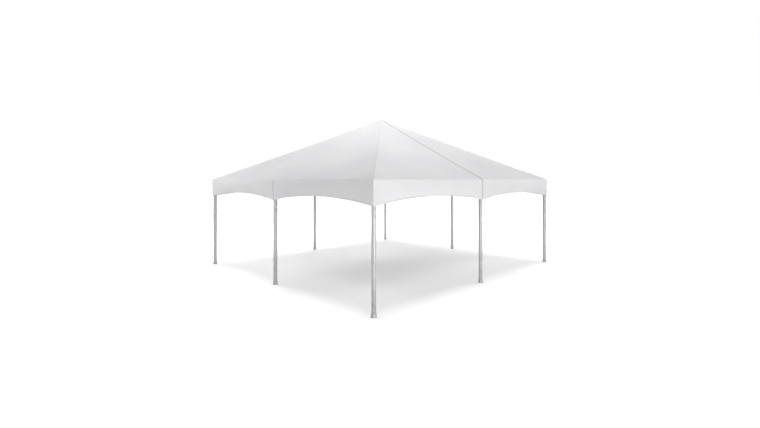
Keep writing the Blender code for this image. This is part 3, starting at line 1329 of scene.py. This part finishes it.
@dataclass(frozen=True)
class FrameLines:
    """The centre lines of the frame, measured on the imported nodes."""

    half: float  # from the middle to a leg's axis
    eave: float  # the eave rails' axes
    pitch: float  # the mid rafters' slope

    @classmethod
    def measured(cls, pitch: float) -> "FrameLines":
        """Reads the leg and rail axes from the nodes' boxes.

        Args:
            pitch: The roof's slope, in radians.

        Returns:
            The frame's lines.
        """
        leg_low, leg_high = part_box("leg_front_left")
        rail_low, rail_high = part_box("eave_rail_front_front_left")
        return cls(-(leg_low.x + leg_high.x) / 2, (rail_low.z + rail_high.z) / 2, pitch)

    @property
    def corner(self) -> Vector:
        """The front left corner fitting's centre."""
        return Vector((-self.half, -self.half, self.eave))

    @property
    def middle(self) -> Vector:
        """The front side fitting's centre."""
        return Vector((0, -self.half, self.eave))

    @property
    def crown(self) -> Vector:
        """The crown fitting's centre."""
        return Vector((0, 0, self.eave + self.half * math.tan(self.pitch)))

    @property
    def hip(self) -> Vector:
        """The direction up the front left hip rafter."""
        return (self.crown - self.corner).normalized()

    @property
    def slope(self) -> Vector:
        """The direction up the front mid rafter."""
        return (self.crown - self.middle).normalized()

    def posts(self) -> list[tuple[Vector, list[str]]]:
        """The front left corner post's top and the front mid-side post's, with all four posts' names."""
        middles = [f"{label}_middle" for label in Side.labels()]
        return [(self.corner, Corner.labels()), (self.middle, middles)]

    def roof_normal(self, side: Side) -> Vector:
        """The outward direction of a roof side."""
        front = Vector((0, -math.sin(self.pitch), math.cos(self.pitch)))
        return side.turn.to_3x3() @ front


@dataclass
class TubeFrame:
    """The legs, eave rails and rafters: drawn tubes that end in the fittings' sockets."""

    finishes: Finishes
    lines: FrameLines
    radius: float = 38 * MM
    wall: float = 3 * MM
    rim: float = 0.6 * MM  # the rounding of a sawn end
    sides: int = 40
    stop: float = 120.3 * MM  # from a fitting's centre to a tube's end
    foot_level: float = 8.3 * MM

    def tube(self, name: str, start: Vector, end: Vector) -> Object:
        """Models a tube between two points.

        Args:
            name: Its name.
            start: Its lower end.
            end: Its upper end.

        Returns:
            The tube.
        """

        def sawn(edge: Item) -> bool:
            """True for an edge round a sawn end, and not for one across the wall."""
            rise = abs(edge.verts[0].co.z - edge.verts[1].co.z)
            return rise < self.rim and edge.calc_length() > self.wall + self.rim

        piece = round_bar(name, self.radius, 0, (end - start).length, self.sides)
        with shaping(piece):
            pick(piece, Kind.FACES, lambda face: abs(face.normal.z) > FACING)
            bpy.ops.mesh.inset(thickness=self.wall, use_individual=True)
            bpy.ops.mesh.delete(type="FACE")
            pick(piece, Kind.EDGES, lambda edge: edge.is_boundary)
            bpy.ops.mesh.bridge_edge_loops()
        bevel_edges(piece, self.rim, sawn)
        face_out(piece)
        map_round(piece, self.radius)
        smooth(piece, 35)
        piece.data.transform(placing_along(start, end - start))
        return piece

    def build(self) -> None:
        """Builds all tubes."""
        coat, lines = self.finishes.aluminium, self.lines
        for top, labels in lines.posts():
            foot = Vector((top.x, top.y, self.foot_level))
            leg = self.tube("leg", foot, top + DOWN * self.stop)
            place_round(leg, "leg_tube", labels, coat, "leg")

        corners, sides = Corner.labels(), Side.labels()
        near = [f"{side}_{corner}" for side, corner in zip(sides, corners)]
        far = [f"{side}_{corner}" for side, corner in zip(sides, corners[1:] + corners[:1])]
        for kind, node, start, end, labels in (
            ("rail_tube", "eave_rail", lines.corner, lines.middle, near),
            ("rail_tube", "eave_rail", lines.middle, Side.RIGHT.turn @ lines.corner, far),
            ("hip_tube", "hip_rafter", lines.corner, lines.crown, corners),
            ("rafter_tube", "mid_rafter", lines.middle, lines.crown, sides),
        ):
            short = (end - start).normalized() * self.stop
            place_round(self.tube(kind, start + short, end - short), kind, labels, coat, node)


@dataclass
class LockPin:
    """A plated pin through a sleeve and its tube, with a round head and a pull ring."""

    reach: float  # from the sleeve's axis to the head
    radius: float = 4 * MM
    head_radius: float = 7.5 * MM
    head_depth: float = 4 * MM
    rim: float = 1.2 * MM  # the rounding of both ends
    ring_radius: float = 12 * MM
    ring_wire: float = 1.2 * MM
    ring_steps: int = 24
    sides: int = 16

    def model(self) -> Object:
        """Models the pin along Z, with its ring hanging along X.

        Returns:
            The pin with its ring.
        """
        pin = round_bar("pin", self.radius, -self.reach - 2 * self.head_depth, self.reach, self.sides)
        grow = self.head_radius / self.radius
        with shaping(pin):
            pick(pin, Kind.FACES, lambda face: face.normal.z > FACING)
            bpy.ops.mesh.extrude_region_move()
            bpy.ops.transform.resize(value=(grow, grow, 1))
            bpy.ops.mesh.extrude_region_move(TRANSFORM_OT_translate={"value": (0, 0, self.head_depth)})
        tip = self.reach + self.head_depth - MM
        bevel_edges(pin, self.rim, lambda edge: all(abs(vert.co.z) > tip for vert in edge.verts))
        hang = (self.ring_radius, 0, -self.reach - self.head_depth)
        ring = round_ring(hang, self.ring_radius, self.ring_wire, self.ring_steps)
        whole = join("pin", (pin, ring))
        face_out(whole)
        smooth(whole, 40)
        return whole

    def through(self, place: Vector, axis: Vector, hang: Vector) -> Object:
        """Models the pin and puts it through a sleeve.

        Args:
            place: The point on the sleeve's axis that it crosses.
            axis: The direction of its head.
            hang: The direction in which its ring hangs.

        Returns:
            The pin.
        """
        along = axis.normalized()
        down = (hang - along * hang.dot(along)).normalized()
        turn = Matrix((down, along.cross(down), along)).transposed().to_4x4()
        pin = self.model()
        pin.data.transform(Matrix.Translation(place) @ turn)
        return pin


@dataclass
class SlipFittings:
    """The corner, side and crown fittings: welded sleeves on hubs, with caps in the roof's pitch."""

    finishes: Finishes
    lines: FrameLines
    arm_radius: float = 43 * MM
    post_radius: float = 45 * MM
    socket_radius: float = 38.3 * MM
    sleeve_length: float = 280 * MM
    socket_start: float = 120 * MM
    cap_offset: float = 47.0 * MM  # from the axes to the cap faces, under the cloth and its patches
    ridge_offset: float = 47.4 * MM  # and to the flats along the caps' ridges
    crown_radius: float = 62 * MM
    crown_depth: float = 75 * MM
    crown_flat: float = 45.8 * MM  # the crown's blunt top above its centre
    hub_rise: float = 85 * MM
    mouth_bevel: float = 1.2 * MM
    weld_radius: float = 3.2 * MM
    weld_ripple: float = 0.14
    weld_points: int = 96
    valley_share: float = 0.96  # of a half turn, over which a valley's bead runs
    pin_place: float = 215 * MM  # from the centre, along a sleeve
    sides: int = 48
    overcut: float = 10 * MM

    def hub(self, name: str, radius: float, depth: float, roof: Sequence[Side]) -> Object:
        """Models a hub whose cap is cut by the roof's planes.

        Args:
            name: Its name.
            radius: Its radius.
            depth: How far it reaches down.
            roof: The roof sides that meet over it.

        Returns:
            The hub, about the origin.
        """
        hub = round_bar(name, radius, -depth, self.hub_rise, self.sides)
        normals = [self.lines.roof_normal(side) for side in roof]
        cuts = [(normal, self.cap_offset) for normal in normals]
        if len(roof) == len(Side):
            normals.append(normals[0])
            cuts.append((UP, self.crown_flat))
        cuts += [((one + other).normalized(), self.ridge_offset) for one, other in zip(normals, normals[1:])]
        with shaping(hub):
            for normal, offset in cuts:
                bpy.ops.mesh.select_all(action="SELECT")
                point = normal * offset
                bpy.ops.mesh.bisect(plane_co=point, plane_no=normal, use_fill=True, clear_outer=True)

        def on_cap(edge: Item) -> bool:
            """Whether an edge is one of the cap's.

            Args:
                edge: The edge.

            Returns:
                True if it lies in a cut, and isn't upright.
            """
            ends = [vert.co for vert in edge.verts]
            upright = abs((ends[0] - ends[1]).normalized().z) > 0.99
            offsets = [[abs(end.dot(normal) - offset) for end in ends] for normal, offset in cuts]
            return min(max(pair) for pair in offsets) < 0.1 * MM and not upright

        bevel_edges(hub, self.mouth_bevel, on_cap)
        return hub

    def weld(self, arm: Vector, hub_radius: float) -> Object:
        """Models the bead where a sleeve meets an upright hub.

        Args:
            arm: The sleeve's direction.
            hub_radius: The hub's radius.

        Returns:
            The bead, a rippled ring.
        """
        placing = placing_along(Vector(), arm).to_3x3()
        level = Vector((arm.x, arm.y, 0)).length
        points = []
        for step in range(self.weld_points):
            angle = 2 * math.pi * step / self.weld_points
            rim = placing @ Vector((math.cos(angle), math.sin(angle), 0)) * self.arm_radius
            flat_rim, flat_arm = Vector((rim.x, rim.y)), Vector((arm.x, arm.y))
            along = flat_rim.dot(flat_arm)
            reach = along**2 - level**2 * (flat_rim.length_squared - hub_radius**2)
            points.append(rim + arm * ((math.sqrt(max(reach, 0)) - along) / level**2))
        return self.bead("weld", points, closed=True)

    def valley_weld(self, first: Vector, second: Vector) -> Object:
        """Models the bead in the valley between two sleeves of one size.

        Args:
            first: One sleeve's direction.
            second: The other's.

        Returns:
            The bead, a rippled arc.
        """
        between = (first + second).normalized()
        upward = first.cross(second).normalized()
        spread = math.sin(first.angle(second) / 2)
        points = []
        for step in range(self.weld_points // 2 + 1):
            angle = math.pi * (step / (self.weld_points // 2) - 0.5) * self.valley_share
            out = between * (self.arm_radius * math.cos(angle) / spread)
            points.append(out + upward * (self.arm_radius * math.sin(angle)))
        return self.bead("valley_weld", points, closed=False)

    def bead(self, name: str, points: Sequence[Vector], closed: bool) -> Object:
        """Models a weld bead along a line.

        Args:
            name: Its name.
            points: The line.
            closed: True if the line closes on itself.

        Returns:
            The bead, as a mesh.
        """
        curve = bpy.data.curves.new(name, "CURVE")
        curve.dimensions = "3D"
        curve.bevel_depth = self.weld_radius
        curve.bevel_resolution = 1
        curve.use_fill_caps = True
        spline = curve.splines.new("POLY")
        spline.points.add(len(points) - 1)
        spline.use_cyclic_u = closed
        for number, (item, point) in enumerate(zip(spline.points, points)):
            item.co = (*point, 1)
            item.radius = 1 + self.weld_ripple * (1 if number % 2 else -1)
        make_active(add_object(name, curve))
        bpy.ops.object.convert(target="MESH")
        return bpy.context.active_object

    def at_mouth(self, edge: Item, arm: Vector) -> bool:
        """Whether an edge lies at the mouth of a sleeve.

        Args:
            edge: The edge.
            arm: The sleeve's direction.

        Returns:
            True if it does.
        """
        near, widest = self.sleeve_length - MM, self.post_radius + MM
        ends = [(vert.co, vert.co.dot(arm)) for vert in edge.verts]
        return all(along > near and (end - arm * along).length < widest for end, along in ends)

    def fitting(
        self, name: str, radius: float, depth: float, arms: Sequence[Vector], roof: Sequence[Side]
    ) -> Object:
        """Models a fitting about the origin.

        Args:
            name: Its name.
            radius: The hub's radius.
            depth: How far the hub reaches down.
            arms: The directions of its sockets. DOWN is the hub itself.
            roof: The roof sides over it.

        Returns:
            The fitting, without its welds and pins.
        """
        body = self.hub(name, radius, depth, roof)
        for arm in arms:
            if arm != DOWN:
                sleeve = round_bar("sleeve", self.arm_radius, 0, self.sleeve_length, self.sides)
                sleeve.data.transform(placing_along(Vector(), arm))
                combine(body, sleeve, Change.ADD)
        for arm in arms:
            end = self.sleeve_length + self.overcut
            socket = round_bar("socket", self.socket_radius, self.socket_start, end, self.sides)
            socket.data.transform(placing_along(Vector(), arm))
            combine(body, socket, Change.CUT)
        for arm in arms:
            bevel_edges(body, self.mouth_bevel, lambda edge, arm=arm: self.at_mouth(edge, arm))
        return body

    @staticmethod
    def finish_off(body: Object, beads: list[Object], place: Vector) -> Object:
        """Adds a fitting's welds, shades it and puts it in its place.

        Args:
            body: The fitting, about the origin.
            beads: Its welds.
            place: Where its centre goes.

        Returns:
            The whole fitting.
        """
        whole = join(body.name, [body, *beads])
        smooth(whole, 35)
        whole.data.transform(Matrix.Translation(place))
        return whole

    def pins(self, name: str, arms: Sequence[Vector], heads: Sequence[Vector], place: Vector) -> Object:
        """Models the pins of a fitting.

        Args:
            name: The name of the joined pins.
            arms: The directions of the sleeves.
            heads: The direction of the head of each sleeve's pin.
            place: The fitting's centre.

        Returns:
            The pins, joined.
        """
        made = []
        for arm, head in zip(arms, heads):
            reach = self.post_radius if arm == DOWN else self.arm_radius
            made.append(LockPin(reach).through(arm * self.pin_place, head, DOWN))
        joined = join(name, made)
        joined.data.transform(Matrix.Translation(place))
        return joined

    def on_posts(
        self,
        node: str,
        labels: Sequence[str],
        place: Vector,
        arms: Sequence[Vector],
        heads: Sequence[Vector],
        roof: Sequence[Side],
    ) -> None:
        """Builds the fittings of four posts, with their pins.

        Args:
            node: The start of their nodes' names.
            labels: The rest of them, in quarter turns.
            place: The first one's centre.
            arms: The directions of its sockets: down, along the two rails and up the rafter.
            heads: The directions of its pins' heads.
            roof: The roof sides over it.
        """
        body = self.fitting("fitting", self.post_radius, self.sleeve_length, arms, roof)
        _, near, far, rafter = arms
        beads = [self.weld(arm, self.post_radius) for arm in (near, far, rafter)]
        if len(roof) > 1:
            beads += [self.valley_weld(rail, rafter) for rail in (near, far)]
        body = self.finish_off(body, beads, place)
        place_round(body, "slip_fitting", labels, self.finishes.steel, node)
        pins = self.pins("pins", arms, heads, place)
        place_round(pins, "lock_pins", labels, self.finishes.zinc)

    def build(self) -> None:
        """Builds the nine fittings with their pins."""
        lines, right, back = self.lines, Vector((1, 0, 0)), Vector((0, 1, 0))
        arms = (DOWN, right, back, lines.hip)
        heads = (-right - back, -back, -right, lines.hip.cross(UP))
        roof = (Side.FRONT, Side.LEFT)
        self.on_posts("corner_fitting", Corner.labels(), lines.corner, arms, heads, roof)
        arms, heads = (DOWN, right, -right, lines.slope), (right, -back, -back, right)
        self.on_posts("side_fitting", Side.labels(), lines.middle, arms, heads, (Side.FRONT,))

        arms = [side.turn.to_3x3() @ -way for side in Side for way in (lines.hip, lines.slope)]
        body = self.fitting("slip_fitting_crown", self.crown_radius, self.crown_depth, arms, tuple(Side))
        beads = [self.valley_weld(one, other) for one, other in zip(arms, arms[1:] + arms[:1])]
        body = self.finish_off(body, beads, lines.crown)
        dress(body, self.finishes.steel)
        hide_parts("crown_fitting")
        pins = self.pins("lock_pins_crown", arms, [arm.cross(UP) for arm in arms], lines.crown)
        dress(pins, self.finishes.zinc)


@dataclass
class Feet:
    """The feet: a round plate with a welded cup and a pin, little wider than the leg."""

    finishes: Finishes
    lines: FrameLines
    plate_radius: float = 50 * MM
    plate_thickness: float = 8 * MM
    cup_radius: float = 44 * MM
    socket_radius: float = 38.3 * MM
    height: float = 65 * MM
    rim: float = 1.2 * MM  # the rounding of the upper edges
    weld_radius: float = 2.6 * MM
    weld_out: float = 0.6 * MM  # from the cup's face to the bead's middle
    pin_height: float = 40 * MM
    sides: int = 48

    def on_rim(self, edge: Item) -> bool:
        """Whether an edge is rounded.

        Args:
            edge: The edge.

        Returns:
            True for an edge of the plate's upper rim or of the cup's mouth.
        """
        start, end = (vert.co for vert in edge.verts)
        level = abs(start.z - end.z) < MM
        on_plate = start.z > self.plate_thickness - MM and start.to_2d().length > self.plate_radius - MM
        return level and (on_plate or start.z > self.height - MM)

    def model(self) -> Object:
        """Models a foot about the origin, by insets and extrusions of a plate.

        Returns:
            The foot.
        """
        foot = round_bar("foot", self.plate_radius, 0, self.plate_thickness, self.sides)
        steps = (
            (self.plate_radius - self.cup_radius, self.height - self.plate_thickness),
            (self.cup_radius - self.socket_radius, self.plate_thickness - self.height),
        )
        with shaping(foot):
            pick(foot, Kind.FACES, lambda face: face.normal.z > FACING)
            for inset, rise in steps:
                bpy.ops.mesh.inset(thickness=inset)
                bpy.ops.mesh.extrude_region_move(TRANSFORM_OT_translate={"value": (0, 0, rise)})
        bevel_edges(foot, self.rim, self.on_rim)
        top = (0, 0, self.plate_thickness)
        bead = round_ring(top, self.cup_radius + self.weld_out, self.weld_radius, self.sides)
        whole = join("foot", (foot, bead))
        face_out(whole)
        smooth(whole, 35)
        return whole

    def build(self) -> None:
        """Builds the eight feet with their pins."""
        foot = self.model()
        pin = LockPin(self.cup_radius).through(Vector((0, 0, self.pin_height)), Vector((1, 0, 0)), DOWN)
        for top, labels in self.lines.posts():
            placing = Matrix.Translation((top.x, top.y, 0))
            place_round(copy_to(foot, "cup", placing), "base_cup", labels, self.finishes.steel, "foot")
            place_round(copy_to(pin, "pin", placing), "base_pin", labels, self.finishes.zinc)
        for master in (foot, pin):
            bpy.data.objects.remove(master)


@dataclass
class TieStraps:
    """The straps sewn to the eave webbing, each round a fitting's sleeve with a cam buckle and a loose tail.

    One is modelled about a leg's axis with its buckle on +Y, which is turned to the marquee's middle.
    """

    finishes: Finishes
    lines: FrameLines
    sleeve_radius: float = 45 * MM
    width: float = 25 * MM
    thickness: float = 1.3 * MM
    play: float = 0.2 * MM  # between the sleeve and the loop
    height: float = 2.037  # of its middle, on the eave webbing
    tail: float = 0.16
    tail_rows: int = 12
    tail_start: float = 4.95 * MM  # of the tail's top, out from the loop
    tail_swing: float = 8.1 * MM  # of the tail, out
    tail_bend: float = 2.4  # radians of a wave that the swing follows
    tail_drift: float = 3 * MM  # of its end, to the side
    buckle_width: float = 33 * MM
    buckle_depth: float = 9 * MM
    buckle_height: float = 30 * MM
    rim: float = 0.8 * MM  # the rounding of the buckle's edges
    recess: float = 4 * MM
    lever_gap: float = 1 * MM  # between the lever and the buckle's frame
    lever_proud: float = 1 * MM  # of the lever, above the frame
    lever_lift: float = 6 * MM
    steps: int = 48

    def strap(self) -> Object:
        """Models the loop and its tail.

        Returns:
            The strap.
        """
        inner = self.sleeve_radius + self.play
        outer = inner + self.thickness
        low, high = -self.width / 2, self.width / 2
        angles = np.linspace(0, 2 * math.pi, self.steps, endpoint=False)[:, None]
        radii, levels = np.array(((inner, low), (outer, low), (outer, high), (inner, high))).T
        levels = np.broadcast_to(self.height + levels, (self.steps, levels.size))
        rings = np.stack((radii * np.cos(angles), radii * np.sin(angles), levels), axis=-1)
        loop = loft("loop", rings, around=True)
        down = np.linspace(0, 1, self.tail_rows + 1)[:, None]
        across = np.array([[low, 0.0, high]])
        out = outer + self.tail_start + self.tail_swing * down * np.sin(self.tail_bend * down)
        x, y = np.broadcast_arrays(across + self.tail_drift * down**2, out)
        z = np.broadcast_to(self.height - self.tail * down, x.shape)
        tail = slab("tail", np.stack((x, y, z), axis=-1), self.thickness)
        whole = join("strap", (loop, tail))
        smooth(whole, 40)
        return whole

    def block(self, width: float, depth: float, height: float) -> Object:
        """Adds a block that stands on the strap's outer face.

        Args:
            width: Its size across the strap's length, in X.
            depth: Its size out from the strap, in Y.
            height: Its size in Z.

        Returns:
            The block.
        """
        deselect()
        bpy.ops.mesh.primitive_cube_add(size=1)
        block = bpy.context.active_object
        with shaping(block):
            bpy.ops.mesh.select_all(action="SELECT")
            bpy.ops.transform.resize(value=(width, depth, height))
            level = self.sleeve_radius + self.thickness + depth / 2
            bpy.ops.transform.translate(value=(0, level, self.height))
        return block

    def buckle(self) -> Object:
        """Models the buckle: a pressed frame with a slanted lever in it.

        Returns:
            The buckle.
        """
        rest = self.block(self.buckle_width, self.buckle_depth, self.buckle_height)
        with shaping(rest):
            pick(rest, Kind.FACES, lambda face: face.normal.y > FACING)
            bpy.ops.mesh.inset(thickness=self.recess)
            bpy.ops.mesh.extrude_region_move(TRANSFORM_OT_translate={"value": (0, -self.recess, 0)})
        bevel_edges(rest, self.rim, lambda edge: True)
        trim, proud = 2 * (self.recess + self.lever_gap), self.buckle_depth + self.lever_proud
        lever = self.block(self.buckle_width - trim, proud, self.buckle_height - trim)
        with shaping(lever):
            pick(lever, Kind.FACES, lambda face: face.normal.z < -FACING)
            slant = (0, self.lever_lift, -self.lever_lift)
            bpy.ops.mesh.extrude_region_move(TRANSFORM_OT_translate={"value": slant})
        bevel_edges(lever, self.rim, lambda edge: True)
        whole = join("buckle", (rest, lever))
        smooth(whole, 40)
        return whole

    def build(self) -> None:
        """Builds the eight straps and their buckles."""
        strap, buckle = self.strap(), self.buckle()
        to_middle = Matrix.Rotation(-math.pi / 4, 4, "Z")
        for (top, labels), turn in zip(self.lines.posts(), (to_middle, Matrix())):
            placing = Matrix.Translation((top.x, top.y, 0)) @ turn
            place_round(copy_to(strap, "tie", placing), "tie_strap", labels, self.finishes.webbing)
            place_round(copy_to(buckle, "cam", placing), "tie_buckle", labels, self.finishes.zinc)
        for master in (strap, buckle):
            bpy.data.objects.remove(master)


@dataclass(frozen=True)
class Lamp:
    """A soft box of the studio, aimed at a point under or over the marquee's middle."""

    name: str
    azimuth_deg: float  # from +X towards +Y
    height: float
    watts: float
    reach: float = 10.0  # from the middle, on the plan
    size: float = 3.0
    aim_height: float = 1.8  # far below the floor for a lamp that looks almost straight down

    def build(self) -> None:
        """Hangs the lamp, out of the camera's sight, and aims it."""
        data = bpy.data.lights.new(self.name, "AREA")
        data.shape = "SQUARE"
        data.size = self.size
        data.energy = self.watts
        lamp = add_object(self.name, data)
        lamp.visible_camera = False
        turn = math.radians(self.azimuth_deg)
        lamp.location = (self.reach * math.cos(turn), self.reach * math.sin(turn), self.height)
        ray = Vector((0, 0, self.aim_height)) - lamp.location
        lamp.rotation_euler = ray.to_track_quat("-Z", "Y").to_euler()


@dataclass
class Studio:
    """A pale floor, plain soft light and the camera."""

    floor_size: float = 400.0
    ambient: float = 0.15  # of the white surroundings
    eye: tuple[float, float, float] = (7.813, -7.365, 2.146)
    heading_deg: float = 133.24  # from +X towards +Y
    lens_mm: float = 19.678
    sensor_mm: float = 36.0
    # the photo's uprights are parallel, so the camera is level and frames the marquee by its shift
    shift: tuple[float, float] = (-0.0353, -0.0451)
    lamps: tuple[Lamp, ...] = (
        Lamp("overhead", 0, 8.3, 244, reach=0),
        Lamp("over_near_corner", -45, 7.0, 68, reach=3.54, size=2, aim_height=-90),
        Lamp("right_low", -30, 1.5, 214),
        Lamp("right_side", 0, 1.5, 125),
        Lamp("right_high", 30, 8.0, 244),
        Lamp("right_far", 60, 4.5, 267),
        Lamp("front", -90, 3.0, 144),
        Lamp("front_high", -120, 6.0, 75, reach=7, size=2),
        Lamp("front_left", -150, 4.5, 355),
        Lamp("back_left", 150, 4.5, 300),
    )

    def floor(self) -> None:
        """Lays the floor."""
        deselect()
        bpy.ops.mesh.primitive_plane_add(size=self.floor_size)
        floor = bpy.context.active_object
        floor.name = "floor"
        floor.data.materials.append(StudioFloor().make())

    def surroundings(self) -> None:
        """Makes the surroundings pure white to the camera, and a softer light to the object."""
        world = bpy.data.worlds.new("white_surroundings")
        world.use_nodes = True
        bpy.context.scene.world = world
        light = world.node_tree.nodes["Background"]
        light.inputs["Color"].default_value = (1, 1, 1, 1)
        seen = add_node(world.node_tree, "ShaderNodeLightPath").outputs["Is Camera Ray"]
        ends = {"To Min": self.ambient, "To Max": 1}
        strength = add_node(world.node_tree, "ShaderNodeMapRange", ends, {"Value": seen})
        feed(world.node_tree, light, {"Strength": strength.outputs[0]})
        bpy.context.scene.view_settings.view_transform = "Standard"

    def camera(self) -> None:
        """Puts the camera at the photograph's viewpoint."""
        data = bpy.data.cameras.new("camera")
        data.lens = self.lens_mm
        data.sensor_width = self.sensor_mm
        data.shift_x, data.shift_y = self.shift
        data.clip_end = self.floor_size
        camera = add_object("camera", data)
        camera.location = self.eye
        camera.rotation_euler = (math.pi / 2, 0, math.radians(self.heading_deg) - math.pi / 2)
        bpy.context.scene.camera = camera

    def build(self) -> None:
        """Sets up the studio."""
        self.floor()
        self.surroundings()
        self.camera()
        for lamp in self.lamps:
            lamp.build()


def main() -> None:
    """Builds the marquee and its studio."""
    logging.basicConfig(level=logging.INFO, format="%(name)s: %(message)s")
    finishes = Finishes()
    cover = Cover(finishes)
    lines = FrameLines.measured(cover.pitch)
    TubeFrame(finishes, lines).build()
    SlipFittings(finishes, lines).build()
    Feet(finishes, lines).build()
    TieStraps(finishes, lines).build()
    cover.build()
    Studio().build()


if __name__ == "__main__":
    main()
